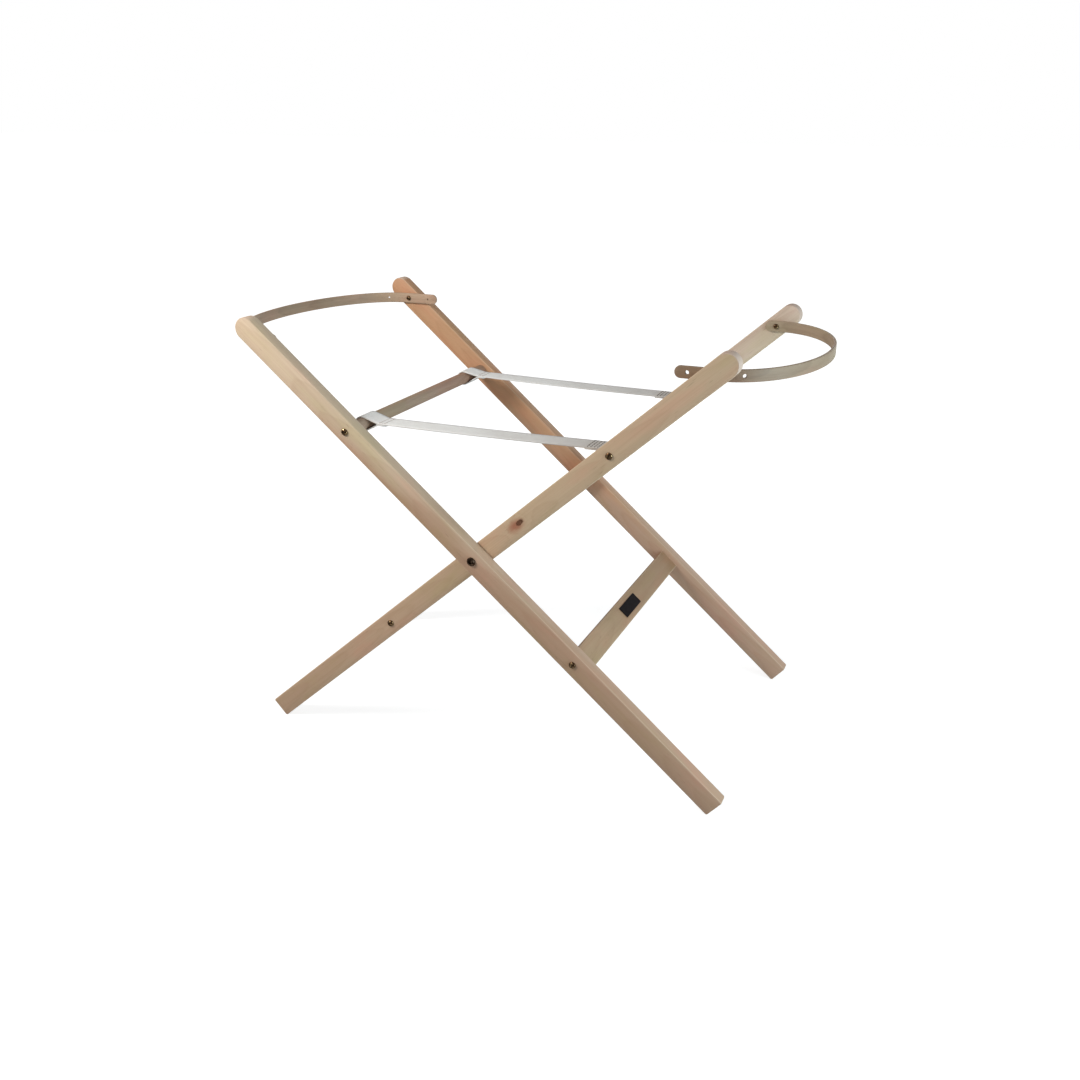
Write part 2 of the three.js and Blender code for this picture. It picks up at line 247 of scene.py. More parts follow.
wander = less(tree, stretched_noise(tree, board, 14, 2.2, 2.0, seed_place), 0.5)
knot_gap = add_node(tree, "VectorMath", {0: board, 1: given["Knot Place"]}, operation="SUBTRACT")
knot_flat = add_node(tree, "VectorMath", {0: knot_gap.outputs[0], 1: KNOT_SHAPE}, operation="MULTIPLY")
knot_noise = less(tree, stretched_noise(tree, board, 130, 90, 2.0, seed_place), 0.5)
knot_reach = add_node(tree, "VectorMath", {0: knot_flat.outputs[0]}, operation="LENGTH").outputs["Value"]
knot_size = maths(tree, "MAXIMUM", given["Knot Size"], 0.00001)
knot_ratio = maths(tree, "DIVIDE", knot_reach, knot_size)
knot_ratio = plus(tree, knot_ratio, times(tree, knot_noise, 1.7))
knot_ratio = maths(tree, "MAXIMUM", knot_ratio, 0.0)
knot_swell = maths(tree, "EXPONENT", times(tree, maths(tree, "POWER", knot_ratio, 2.0), -0.16))
across = less(tree, axis[0], times(tree, wander, 0.02))
depth = plus(tree, times(tree, axis[2], PITH_LEAN), plus(tree, axis[1], PITH_DEPTH))
across_squared = maths(tree, "POWER", maths(tree, "ABSOLUTE", across), 2.0)
radius = maths(tree, "SQRT", plus(tree, across_squared, times(tree, depth, depth)))
radius = plus(tree, radius, times(tree, wander, 0.012))
radius = plus(tree, radius, times(tree, knot_swell, times(tree, knot_size, 1.6)))
ring = maths(tree, "FRACT", times(tree, radius, RINGS_PER_METRE))
late = times(tree, maths(tree, "POWER", ring, 2.6), step_between(tree, ring, 1.0, 0.9))
fibre = stretched_noise(tree, board, 900, 14, 4.0, seed_place)
streak = stretched_noise(tree, board, 160, 3.2, 3.0, seed_place)
patch_noise = stretched_noise(tree, board, 26, 5.0, 2.0, seed_place)
fleck = step_between(tree, stretched_noise(tree, board, 620, 60, 1.0, seed_place), 0.70, 0.78)
tone_place = plus(tree, axis[2], times(tree, less(tree, patch_noise, 0.5), 0.5))
# The tone boundary slants across the board, so that one long edge of each wide face takes more of the upper
# tone than the other.
tone_place = plus(tree, tone_place, times(tree, axis[0], 7.0))
down = step_between(tree, less(tree, tone_place, given["Tone Change"]), 0.16, -0.16)
colour = blend_colour(tree, down, given["Upper Tone"], given["Lower Tone"])
drift = stretched_noise(tree, board, 34, 9.0, 3.0, seed_place)
blush = times(tree, step_between(tree, drift, 0.5, 0.72), 0.75)
sallow = times(tree, step_between(tree, drift, 0.5, 0.3), 0.75)
colour = blend_colour(tree, blush, colour, BLUSH, "MULTIPLY")
colour = blend_colour(tree, sallow, colour, SALLOW, "MULTIPLY")
late_amount = times(tree, late, given["Grain"])
colour = blend_colour(tree, late_amount, colour, given["Late Tone"])
streak_amount = times(tree, step_between(tree, streak, 0.42, 0.72), times(tree, given["Grain"], 0.55))
colour = blend_colour(tree, streak_amount, colour, given["Late Tone"])
fibre_amount = times(tree, step_between(tree, fibre, 0.35, 0.75), 0.16)
colour = blend_colour(tree, fibre_amount, colour, given["Late Tone"])
colour = blend_colour(tree, times(tree, fleck, 0.22), colour, RESIN_FLECK)
halo_shift = add_node(tree, "CombineXYZ", {2: times(tree, knot_size, -0.8)}).outputs[0]
halo_flat = add_node(tree, "VectorMath", {0: knot_flat.outputs[0], 1: halo_shift}, operation="SUBTRACT")
halo_reach = add_node(tree, "VectorMath", {0: halo_flat.outputs[0]}, operation="LENGTH").outputs["Value"]
halo_ratio = plus(tree, maths(tree, "DIVIDE", halo_reach, knot_size), times(tree, knot_noise, 1.2))
knot_halo = times(tree, step_between(tree, halo_ratio, 2.4, 0.6), 0.8)
knot_core = step_between(tree, knot_ratio, 1.0, 0.55)
knot_rings = plus(tree, times(tree, maths(tree, "SINE", times(tree, knot_ratio, 14.0)), 0.12), 0.85)
colour = blend_colour(tree, knot_halo, colour, KNOT_RIM)
colour = blend_colour(tree, times(tree, knot_core, knot_rings), colour, KNOT_HEART)
to_side = less(tree, given["Half Width"], maths(tree, "ABSOLUTE", axis[0]))
to_face = less(tree, given["Half Thickness"], maths(tree, "ABSOLUTE", axis[1]))
near_side = step_between(tree, to_side, ARRIS_WIDTH, 0.0)
near_face = step_between(tree, to_face, ARRIS_WIDTH, 0.0)
arris = times(tree, times(tree, near_side, near_face), plus(tree, streak, 0.1))
colour = blend_colour(tree, times(tree, arris, 0.55), colour, SANDED_ARRIS)
round_start = less(tree, given["Top End"], given["Half Width"])
past_start = maths(tree, "MAXIMUM", less(tree, axis[2], round_start), 0.0)
arc = add_node(tree, "CombineXYZ", {0: axis[0], 1: past_start}).outputs[0]
arc_reach = add_node(tree, "VectorMath", {0: arc}, operation="LENGTH").outputs["Value"]
to_arc = less(tree, given["Half Width"], arc_reach)
at_arc = step_between(tree, to_arc, 0.0014, 0.0006)
cut_top = times(tree, at_arc, step_between(tree, past_start, 0.0, 0.006))
cut_foot = step_between(tree, less(tree, axis[2], given["Foot End"]), 0.0008, 0.0)
cut_end = maths(tree, "MAXIMUM", cut_top, cut_foot)
end_pores = stretched_noise(tree, board, 1500, 1500, 2.0, seed_place)
pore_amount = times(tree, plus(tree, late, end_pores), 0.22)
end_colour = blend_colour(tree, pore_amount, given["End Tone"], given["Late Tone"])
colour = blend_colour(tree, cut_end, colour, end_colour)
tree.links.new(colour, result["Color"])
rough = plus(tree, 0.5, times(tree, fibre, 0.16))
rough = less(tree, rough, times(tree, late, 0.07))
tree.links.new(plus(tree, rough, times(tree, cut_end, 0.2)), result["Roughness"])
height = plus(tree, times(tree, fibre, 0.7), times(tree, late, 0.35))
height = less(tree, height, times(tree, fleck, 0.6))
tree.links.new(plus(tree, height, times(tree, end_pores, cut_end)), result["Height"])


def srgb(red, green, blue):
    """A colour in the shader's own linear values, from its 0 to 255 ones."""
    parts = [c / 255 for c in (red, green, blue)]
    return (*(c / 12.92 if c <= 0.04045 else ((c + 0.055) / 1.055) ** 2.4 for c in parts), 1)


def wood_material(name, board_place, board_turn, upper, lower, late, **values):
    """Pine for one board: its place and turn bring the board's length to Z and its width to X."""
    material, tree, shader = new_material(name, Specular_IOR_Level=0.35)
    here = add_node(tree, "TexCoord").outputs["Object"]
    inputs = {"Vector": here, "Location": board_place, "Rotation": board_turn}
    board = add_node(tree, "Mapping", inputs, vector_type="TEXTURE").outputs[0]
    pine = add_node(tree, "Group", node_tree=pine_group)
    tree.links.new(board, pine.inputs["Board"])
    tones = {"Upper Tone": upper, "Lower Tone": lower, "Late Tone": late}
    for socket, value in {**tones, **{k.replace("_", " "): v for k, v in values.items()}}.items():
        pine.inputs[socket].default_value = value
    tree.links.new(pine.outputs["Color"], shader.inputs["Base Color"])
    tree.links.new(pine.outputs["Roughness"], shader.inputs["Roughness"])
    bump = add_node(tree, "Bump", {"Height": pine.outputs["Height"], "Strength": 0.35, "Distance": 0.0004})
    tree.links.new(bump.outputs[0], shader.inputs["Normal"])
    return material


def dress(node, material):
    """A CAD node takes a material, and its round faces are shaded smooth."""
    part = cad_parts[node]
    part.data.materials.clear()
    part.data.materials.append(material)
    for face in part.data.polygons:
        face.use_smooth = True
    weld = part.modifiers.new("weld", "WELD")
    weld.merge_threshold = 0.00001
    crease = part.modifiers.new("crease", "EDGE_SPLIT")
    crease.split_angle = math.radians(32)


LEGS = {
    "outer_leg_front": {
        "upper": srgb(219, 196, 168), "lower": srgb(194, 159, 132), "late": srgb(165, 122, 92),
        "End_Tone": srgb(222, 198, 176), "Seed": 3.1, "Grain": 0.16, "Tone_Change": 0.12,
    },
    "outer_leg_back": {
        "upper": srgb(203, 157, 119), "lower": srgb(197, 162, 137), "late": srgb(168, 116, 82),
        "End_Tone": srgb(226, 200, 178), "Seed": 11.7, "Grain": 0.2, "Tone_Change": 0.06,
    },
    "inner_leg_front": {
        "upper": srgb(210, 182, 150), "lower": srgb(203, 171, 142), "late": srgb(166, 124, 90),
        "End_Tone": srgb(219, 194, 177), "Seed": 23.4, "Grain": 0.16, "Tone_Change": -0.12,
        "Knot_Place": (-0.002, 0, 0.0746), "Knot_Size": 0.0042,
    },
    "inner_leg_back": {
        "upper": srgb(218, 194, 173), "lower": srgb(203, 170, 144), "late": srgb(166, 124, 94),
        "End_Tone": srgb(219, 194, 177), "Seed": 37.9, "Grain": 0.2, "Tone_Change": 0.1,
        "Knot_Place": (0.004, 0, -0.19), "Knot_Size": 0.005,
    },
}
for leg, looks in LEGS.items():
    lean = -LEG_TILT if leg.startswith("outer") else LEG_TILT
    board_place = Vector((0, middle(leg).y, PIVOT.z))
    material = wood_material(
        leg + "_pine", board_place, (0, lean, 0), looks.pop("upper"), looks.pop("lower"), looks.pop("late"),
        Half_Width=LEG_HALF_WIDTH, Half_Thickness=LEG_HALF_THICKNESS, Top_End=LEG_TOP, Foot_End=LEG_FOOT,
        **looks,
    )
    dress(leg, material)

# Rails: each frame's upper rail is a round bar that takes the straps, and its lower rail is a thin
# board. Both run from leg to leg and are screwed through the legs into their end grain.
RAILS = {
    # This rail's upper tone, at its back end, is darker and warmer than its lower one: painted shade beside
    # the back strap.
    "outer_upper_rail": {
        "upper": srgb(175, 138, 116), "lower": srgb(185, 160, 138), "late": srgb(140, 100, 74),
        "End_Tone": srgb(206, 182, 160),
        "Half_Width": 1.0, "Half_Thickness": 1.0, "Seed": 5.3, "Grain": 0.16,
    },
    "outer_lower_rail": {
        "upper": srgb(166, 131, 100), "lower": srgb(185, 153, 120), "late": srgb(150, 108, 72),
        "End_Tone": srgb(206, 182, 160),
        "Half_Width": 0.0155, "Half_Thickness": 0.006, "Seed": 8.8, "Grain": 0.2,
    },
    "inner_upper_rail": {
        "upper": srgb(192, 162, 132), "lower": srgb(186, 154, 124), "late": srgb(150, 112, 80),
        "End_Tone": srgb(206, 182, 160),
        "Half_Width": 1.0, "Half_Thickness": 1.0, "Seed": 17.2, "Grain": 0.18,
    },
    "inner_lower_rail": {
        "upper": srgb(196, 164, 130), "lower": srgb(188, 154, 122), "late": srgb(156, 114, 78),
        "End_Tone": srgb(206, 182, 160),
        "Half_Width": 0.0155, "Half_Thickness": 0.006, "Seed": 29.6, "Grain": 0.2,
    },
}
for rail, looks in RAILS.items():
    side = -1 if rail.startswith("outer") else 1
    up_leg = Vector((side * math.sin(LEG_TILT), 0, math.cos(LEG_TILT)))
    off_leg = up_leg.cross(Vector((0, -1, 0)))
    board_turn = Matrix((up_leg, off_leg, up_leg.cross(off_leg))).transposed().to_euler()
    hidden_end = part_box(rail)[1].y + 0.03
    material = wood_material(
        rail + "_pine", middle(rail), board_turn, looks.pop("upper"), looks.pop("lower"), looks.pop("late"),
        Top_End=hidden_end, Foot_End=-hidden_end, Tone_Change=0.0, **looks,
    )
    dress(rail, material)

# Dowels: plain beech pins set into the lower rails' ends, next to their screws, which keep the
# boards from turning on them.
ENDS = {"front": -1, "back": 1}
beech = wood_material(
    "beech_dowel", (0, 0, 0), (math.pi / 2, 0, 0),
    srgb(200, 165, 125), srgb(196, 160, 120), srgb(150, 108, 72), End_Tone=srgb(206, 176, 140),
    Grain=0.3, Seed=2.0, Half_Width=1.0, Half_Thickness=1.0, Top_End=1.0, Foot_End=-1.0,
)
for frame_name in ("outer", "inner"):
    for end in ENDS:
        dress(f"{frame_name}_lower_dowel_{end}", beech)

# Rail screws: dome-headed wood screws with a cross recess, plated a dark antique brass. Two hold
# each rail, and they are driven from the legs' outer faces.
worn_plating, given, result = new_group(
    "worn_plating",
    {"Place": "Vector", "Bright": "Color", "Patina": "Color", "Scale": "Float"},
    {"Color": "Color", "Roughness": "Float", "Height": "Float"},
)
tree = worn_plating
cloud_inputs = {"Vector": given["Place"], "Scale": given["Scale"], "Detail": 5.0}
cloud = add_node(tree, "TexNoise", cloud_inputs).outputs["Fac"]
fine = times(tree, given["Scale"], 6.0)
scratch_inputs = {"Vector": given["Place"], "Scale": fine, "Detail": 3.0}
scratch = add_node(tree, "TexNoise", scratch_inputs).outputs["Fac"]
patina = step_between(tree, cloud, 0.3, 0.56)
tree.links.new(blend_colour(tree, patina, given["Bright"], given["Patina"]), result["Color"])
rough = plus(tree, 0.13, times(tree, patina, 0.14))
tree.links.new(plus(tree, rough, times(tree, scratch, 0.1)), result["Roughness"])
tree.links.new(scratch, result["Height"])


def plated_metal(name, bright, patina, scale=450.0):
    """A plated metal that has darkened in patches."""
    material, tree, shader = new_material(name, Metallic=1.0)
    plating = add_node(tree, "Group", node_tree=worn_plating)
    tree.links.new(add_node(tree, "TexCoord").outputs["Object"], plating.inputs["Place"])
    for socket, value in {"Bright": bright, "Patina": patina, "Scale": scale}.items():
        plating.inputs[socket].default_value = value
    tree.links.new(plating.outputs["Color"], shader.inputs["Base Color"])
    tree.links.new(plating.outputs["Roughness"], shader.inputs["Roughness"])
    bump_inputs = {"Height": plating.outputs["Height"], "Strength": 0.12, "Distance": 0.0001}
    bump = add_node(tree, "Bump", bump_inputs)
    tree.links.new(bump.outputs[0], shader.inputs["Normal"])
    return material


def turned(profile, steps=40):
    """A bmesh turned on a lathe about Z from (radius, height) points that start and end on the axis."""
    mesh = bmesh.new()
    points = [mesh.verts.new((radius, 0, height)) for radius, height in profile]
    edges = [mesh.edges.new(pair) for pair in zip(points, points[1:])]
    bmesh.ops.spin(
        mesh, geom=points + edges, cent=(0, 0, 0), axis=(0, 0, 1), angle=2 * math.pi, steps=steps,
        use_merge=True, use_duplicate=False,
    )
    bmesh.ops.remove_doubles(mesh, verts=mesh.verts, dist=0.000001)
    bmesh.ops.recalc_face_normals(mesh, faces=mesh.faces)
    return mesh


def carved(mesh, cutter):
    """One bmesh with another taken out of it."""
    blank = new_piece("blank", mesh, None)
    tool = new_piece("tool", cutter, None)
    cut = blank.modifiers.new("cut", "BOOLEAN")
    cut.object = tool
    cut.operation = "DIFFERENCE"
    cut.solver = "EXACT"
    cut.use_self = True
    shape = bpy.data.meshes.new_from_object(blank.evaluated_get(bpy.context.evaluated_depsgraph_get()))
    result = bmesh.new()
    result.from_mesh(shape)
    for spent in (blank, tool):
        bpy.data.objects.remove(spent)
    return result


def cross_cutter(reach, thick, top, depth):
    """A tapering cross-shaped driver tip that points down from top."""
    tip = bmesh.new()
    for turn in (0, math.pi / 2):
        blade = bmesh.ops.create_cube(tip, size=1)["verts"]
        bmesh.ops.scale(tip, vec=(2 * reach, thick, 2 * depth), verts=blade)
        for corner in blade:
            if corner.co.z < 0:
                corner.co.x *= 0.45
        bmesh.ops.rotate(tip, cent=(0, 0, 0), matrix=Matrix.Rotation(turn, 3, "Z"), verts=blade)
        bmesh.ops.translate(tip, vec=(0, 0, top), verts=blade)
    return tip


def domed_profile(head, rise, shank, length):
    """A dome on a thin straight rim, over a shank with a pointed end."""
    rim = 0.22 * rise
    turns = [i * math.pi / 20 for i in range(9, -1, -1)]
    dome = [(head * math.cos(turn), rim + (rise - rim) * math.sin(turn)) for turn in turns]
    return [(0, rise), *dome, (head, 0.0), (shank, 0.0), (shank, 2 * shank - length), (0, -length)]


def shade_smooth(mesh):
    """Smooth shading on every face, with the sharp edges left sharp."""
    for face in mesh.faces:
        face.smooth = True
    for edge in mesh.edges:
        edge.smooth = len(edge.link_faces) == 2 and edge.calc_face_angle() < math.radians(35)


def drive(mesh, place, outwards):
    """Turns a fastener made along Z so that its head faces outwards along Y, and puts it in place."""
    tip = Matrix.Rotation(-outwards * math.pi / 2, 3, "X")
    bmesh.ops.rotate(mesh, cent=(0, 0, 0), matrix=tip, verts=mesh.verts)
    bmesh.ops.translate(mesh, vec=place, verts=mesh.verts)
    shade_smooth(mesh)


antique_brass = plated_metal("antique_brass", srgb(214, 180, 132), srgb(78, 54, 38))
RAIL_SCREW = {"head": 0.0043, "rise": 0.0028, "shank": 0.0024, "length": 0.051}
RAIL_SCREW_CROSS = {"reach": 0.0021, "thick": 0.0008, "depth": 0.0015}
for frame_name in ("outer", "inner"):
    for level in ("upper", "lower"):
        for end, outwards in ENDS.items():
            node = f"{frame_name}_{level}_screw_{end}"
            low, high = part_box(node)
            seat = (high.y if outwards > 0 else -low.y) - RAIL_SCREW["rise"]
            screw = carved(
                turned(domed_profile(**RAIL_SCREW)),
                cross_cutter(top=RAIL_SCREW["rise"], **RAIL_SCREW_CROSS),
            )
            # Each screw stops at its own angle.
            stops_at = Matrix.Rotation(seat * 90 + middle(node).x * 40, 3, "Z")
            bmesh.ops.rotate(screw, cent=(0, 0, 0), matrix=stops_at, verts=screw.verts)
            drive(screw, (middle(node).x, outwards * seat, middle(node).z), outwards)
            piece = new_piece(node + "_domed", screw, antique_brass)
            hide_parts(node)
            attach(piece, frame_name + "_frame")

# Pivot bolts: flanged furniture bolts with a hexagon socket, plated nearly black. Each runs through
# an outer leg, a spacer and an inner leg to a washer and a nut on the inside.
dark_plating = plated_metal("dark_plating", srgb(124, 102, 84), srgb(50, 38, 30))
zinc_plating = plated_metal("zinc_plating", srgb(176, 178, 178), srgb(128, 128, 126), 250.0)
PIVOT_BOLT = {"head": 0.0056, "rise": 0.0032, "shank": 0.0029, "length": 0.046}
SOCKET_RADIUS, SOCKET_DEPTH = 0.0026, 0.0022
for end, outwards in ENDS.items():
    node = "pivot_bolt_" + end
    low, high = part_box(node)
    seat = (high.y if outwards > 0 else -low.y) - PIVOT_BOLT["rise"]
    head, rise, shank, length = (PIVOT_BOLT[k] for k in ("head", "rise", "shank", "length"))
    profile = [
        (0, rise), (0.62 * head, rise), (0.72 * head, 0.94 * rise), (0.8 * head, 0.7 * rise),
        (0.86 * head, 0.5 * rise), (0.96 * head, 0.42 * rise), (head, 0.3 * rise), (head, 0.08 * rise),
        (0.97 * head, 0), (shank, 0),
        (shank, 0.0006 - length), (shank - 0.0006, -length), (0, -length),
    ]
    socket = bmesh.new()
    bmesh.ops.create_cone(
        socket, cap_ends=True, segments=6, radius1=SOCKET_RADIUS, radius2=SOCKET_RADIUS,
        depth=2 * SOCKET_DEPTH, matrix=Matrix.Translation((0, 0, rise)),
    )
    bolt = carved(turned(profile), socket)
    drive(bolt, (middle(node).x, outwards * seat, middle(node).z), outwards)
    piece = new_piece(node + "_socket", bolt, dark_plating)
    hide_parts(node)
    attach(piece, "outer_frame")
    dress("pivot_spacer_" + end, dark_plating)
    dress("pivot_washer_" + end, zinc_plating)
    dress("pivot_nut_" + end, zinc_plating)

# Hoops: a thin ash strip with rounded ends, drilled, then steamed and bent to half an ellipse. One
# end has three holes, so that the hoop's reach can be set, and the other has one.
STRIP_HEIGHT, STRIP_THICKNESS = 0.014, 0.0035
HOLE_RADIUS, PILOT_RADIUS, HOLE_PITCH, HOLE_TO_END = 0.0023, 0.0012, 0.0315, 0.0145
STRAIGHT_END, EASED_EDGE, BEND_PITCH = 0.004, 0.0007, 0.004
BOW_STEPS = 400


def bow_table(reach, half_width):
    """Points of half an ellipse from its front end round to its back end, with the distance to each."""
    points = []
    for i in range(BOW_STEPS + 1):
        turn = (i / BOW_STEPS - 0.5) * math.pi
        points.append(Vector((reach * math.cos(turn), half_width * math.sin(turn), 0)))
    run = [0.0]
    for before, after in zip(points, points[1:]):
        run.append(run[-1] + (after - before).length)
    return points, run


def along_bow(distance, points, run):
    """The place and the outward direction at a distance round the bow; past its ends it runs straight."""
    if distance <= 0:
        return points[0] + Vector((distance, 0, 0)), Vector((0, -1, 0))
    if distance >= run[-1]:
        return points[-1] + Vector((run[-1] - distance, 0, 0)), Vector((0, 1, 0))
    i = min(int(distance / run[-1] * BOW_STEPS), BOW_STEPS - 1)
    while run[i + 1] < distance:
        i += 1
    while run[i] > distance:
        i -= 1
    share = (distance - run[i]) / (run[i + 1] - run[i])
    heading = (points[i + 1] - points[i]).normalized()
    return points[i].lerp(points[i + 1], share), Vector((heading.y, -heading.x, 0))


def flat_strip(start, stop, holes):
    """The strip before it is bent, with its length along X and its height along Z: a lath with round
    ends and eased edges, drilled, and cut across at every few millimetres so that it bends evenly."""
    blank = bmesh.new()
    bmesh.ops.create_cube(blank, size=1)
    bmesh.ops.scale(blank, vec=(stop - start, STRIP_THICKNESS, STRIP_HEIGHT), verts=blank.verts)
    bmesh.ops.translate(blank, vec=((start + stop) / 2, 0, 0), verts=blank.verts)
    corners = [e for e in blank.edges if abs(e.verts[0].co.y - e.verts[1].co.y) > STRIP_THICKNESS / 2]
    bmesh.ops.bevel(
        blank, geom=corners, offset=STRIP_HEIGHT / 2, segments=8, profile=0.5, affect="EDGES", material=-1,
    )
    bmesh.ops.remove_doubles(blank, verts=blank.verts, dist=0.00001)
    rims = [e for e in blank.edges if len(e.link_faces) == 2 and e.calc_face_angle() > 1.0]
    bmesh.ops.bevel(
        blank, geom=rims, offset=EASED_EDGE, segments=3, profile=0.5, affect="EDGES", material=-1,
    )
    drill = bmesh.new()
    for hole, bore in holes:
        bmesh.ops.create_cone(
            drill, cap_ends=True, segments=24, radius1=bore, radius2=bore, depth=0.02,
            matrix=Matrix.Translation((hole, 0, 0)) @ Matrix.Rotation(math.pi / 2, 4, "X"),
        )
    strip = carved(blank, drill)
    cuts = int((stop - start) / BEND_PITCH)
    for i in range(1, cuts):
        place = start + (stop - start) * i / cuts
        whole = strip.verts[:] + strip.edges[:] + strip.faces[:]
        bmesh.ops.bisect_plane(strip, geom=whole, plane_co=(place, 0, 0), plane_no=(1, 0, 0))
    return strip


ASH = {
    "left_hoop": {
        "Upper Tone": srgb(178, 153, 127), "Lower Tone": srgb(192, 163, 136),
        "Late Tone": srgb(120, 96, 74), "Seed": 4.4,
    },
    "right_hoop": {
        "Upper Tone": srgb(181, 158, 133), "Lower Tone": srgb(163, 138, 114),
        "Late Tone": srgb(118, 94, 74), "Seed": 14.9,
    },
}
PLAIN_ASH = {
    "Grain": 0.3, "Tone Change": 0.2, "End Tone": srgb(190, 170, 150),
    "Half Width": 1.0, "Half Thickness": 1.0, "Top End": 9.0, "Foot End": -9.0,
}
ash_material = {}
for name, tones in ASH.items():
    material, tree, shader = new_material(name + "_ash", Specular_IOR_Level=0.35)
    strip_map = add_node(tree, "UVMap", uv_map="strip").outputs[0]
    strip_place = add_node(tree, "SeparateXYZ", {0: strip_map}).outputs
    board = add_node(tree, "CombineXYZ", {0: strip_place[1], 2: strip_place[0]}).outputs[0]
    ash = add_node(tree, "Group", node_tree=pine_group)
    tree.links.new(board, ash.inputs["Board"])
    for socket, value in {**tones, **PLAIN_ASH}.items():
        ash.inputs[socket].default_value = value
    tree.links.new(ash.outputs["Color"], shader.inputs["Base Color"])
    tree.links.new(ash.outputs["Roughness"], shader.inputs["Roughness"])
    bump = add_node(tree, "Bump", {"Height": ash.outputs["Height"], "Strength": 0.4, "Distance": 0.0004})
    tree.links.new(bump.outputs[0], shader.inputs["Normal"])
    ash_material[name] = material

HOOP_SCREW = {"head": 0.0034, "rise": 0.0022, "shank": 0.0017, "length": 0.0165}
HOOP_SCREW_CROSS = {"reach": 0.0017, "thick": 0.0007, "depth": 0.0012}
for hoop, side in {"left_hoop": -1, "right_hoop": 1}.items():
    low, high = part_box(hoop)
    screw_place = middle(hoop + "_screw_front")
    half_width = high.y - STRIP_THICKNESS / 2
    reach = (high.x if side > 0 else -low.x) - side * screw_place.x - STRAIGHT_END - STRIP_THICKNESS / 2
    points, run = bow_table(reach, half_width)
    start = -(STRAIGHT_END + HOLE_PITCH + HOLE_TO_END)
    stop = run[-1] + STRAIGHT_END + HOLE_TO_END
    spare = HOLE_RADIUS if side > 0 else PILOT_RADIUS
    holes = [
        (-STRAIGHT_END - HOLE_PITCH, spare), (-STRAIGHT_END, HOLE_RADIUS),
        (-STRAIGHT_END + HOLE_PITCH, spare), (run[-1] + STRAIGHT_END, HOLE_RADIUS),
    ]
    strip = flat_strip(start, stop, holes)
    grain_map = strip.loops.layers.uv.new("strip")
    for face in strip.faces:
        for loop in face.loops:
            loop[grain_map].uv = (loop.vert.co.x, loop.vert.co.z + 0.4 * loop.vert.co.y)
    for vertex in strip.verts:
        place, outward = along_bow(vertex.co.x, points, run)
        vertex.co = place + outward * -vertex.co.y + Vector((STRAIGHT_END, 0, vertex.co.z))
    if side < 0:
        half_turn = Matrix.Rotation(math.pi, 3, "Z")
        bmesh.ops.rotate(strip, cent=(0, 0, 0), matrix=half_turn, verts=strip.verts)
    bmesh.ops.translate(strip, vec=(screw_place.x, 0, (low.z + high.z) / 2), verts=strip.verts)
    bmesh.ops.recalc_face_normals(strip, faces=strip.faces)
    shade_smooth(strip)
    piece = new_piece(hoop + "_strip", strip, ash_material[hoop])
    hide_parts(hoop)
    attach(piece, hoop)
    for end, outwards in ENDS.items():
        node = f"{hoop}_screw_{end}"
        near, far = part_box(node)
        screw = carved(
            turned(domed_profile(**HOOP_SCREW)),
            cross_cutter(top=HOOP_SCREW["rise"], **HOOP_SCREW_CROSS),
        )
        head_y = near.y if outwards > 0 else far.y
        drive(screw, (middle(node).x, head_y + outwards * HOOP_SCREW["rise"], middle(node).z), -outwards)
        piece = new_piece(node + "_domed", screw, antique_brass)
        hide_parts(node)
        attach(piece, "outer_frame" if side < 0 else "inner_frame")

# Straps: each is one length of cotton webbing that lies flat from rail to rail. At each end it goes
# over the rail and comes back under itself, where a box seam holds it on the left and four rows of
# zigzag stitches on the right.
WEBBING_WIDTH, WEBBING_THICKNESS = 0.030, 0.0015
RAIL_RADIUS, LOOP_CLEARANCE, PLY_GAP = 0.008, 0.0012, 0.0001
LOOP_STEPS, RUN_STEPS, WIDTH_STEPS = 30, 24, 6
RUN_SAG = 0.0008
TIP_REACH = {-1: 0.0225, 1: 0.0185}
RIGHT_RISE = 0.0005
STRAPS = {
    "front": {"left_rise": 0.0015, "twist": -0.0003, "skew": 0.0},
    "back": {"left_rise": 0.004, "twist": -0.0003, "skew": -0.036},
}
TAILS = {-1: 0.0115, 1: 0.019}
TWIST_START, TWIST_STOP = -0.125, 0.158
LEFT_FADE, RIGHT_FADE = 0.05, 0.03
# The darker, greyer tone that the webbing turns towards at its right end.
GREYING_TONE = (0.42, 0.36, 0.31, 1)

webbing_group, given, result = new_group(
    "cotton_webbing",
    {"Weave": "Vector", "Yarn": "Color", "Shade": "Color", "Width": "Float", "Greying": "Float"},
    {"Color": "Color", "Roughness": "Float", "Height": "Float"},
)
tree = webbing_group
WEFT_PITCH, WARP_PITCH = 0.0011, 0.0013
along_across = add_node(tree, "SeparateXYZ", {0: given["Weave"]}).outputs
weft = maths(tree, "SINE", times(tree, along_across[0], 2 * math.pi / WEFT_PITCH))
warp = maths(tree, "SINE", times(tree, along_across[1], 2 * math.pi / WARP_PITCH))
over = times(tree, times(tree, weft, warp), 0.5)
weave = plus(tree, over, 0.5)
ridge = times(tree, maths(tree, "ABSOLUTE", warp), 0.5)
fuzz = add_node(tree, "TexNoise", {"Vector": given["Weave"], "Scale": 2600.0, "Detail": 3.0}).outputs["Fac"]
soil = add_node(tree, "TexNoise", {"Vector": given["Weave"], "Scale": 22.0, "Detail": 4.0}).outputs["Fac"]
half_width = maths(tree, "DIVIDE", given["Width"], 2.0)
off_middle = maths(tree, "ABSOLUTE", less(tree, along_across[1], half_width))
to_edge = less(tree, half_width, off_middle)
selvedge = step_between(tree, to_edge, 0.0018, 0.0004)
shade_amount = times(tree, less(tree, 1.0, weave), 0.22)
shade_amount = plus(tree, shade_amount, times(tree, step_between(tree, soil, 0.45, 0.75), 0.2))
colour = blend_colour(tree, shade_amount, given["Yarn"], given["Shade"])
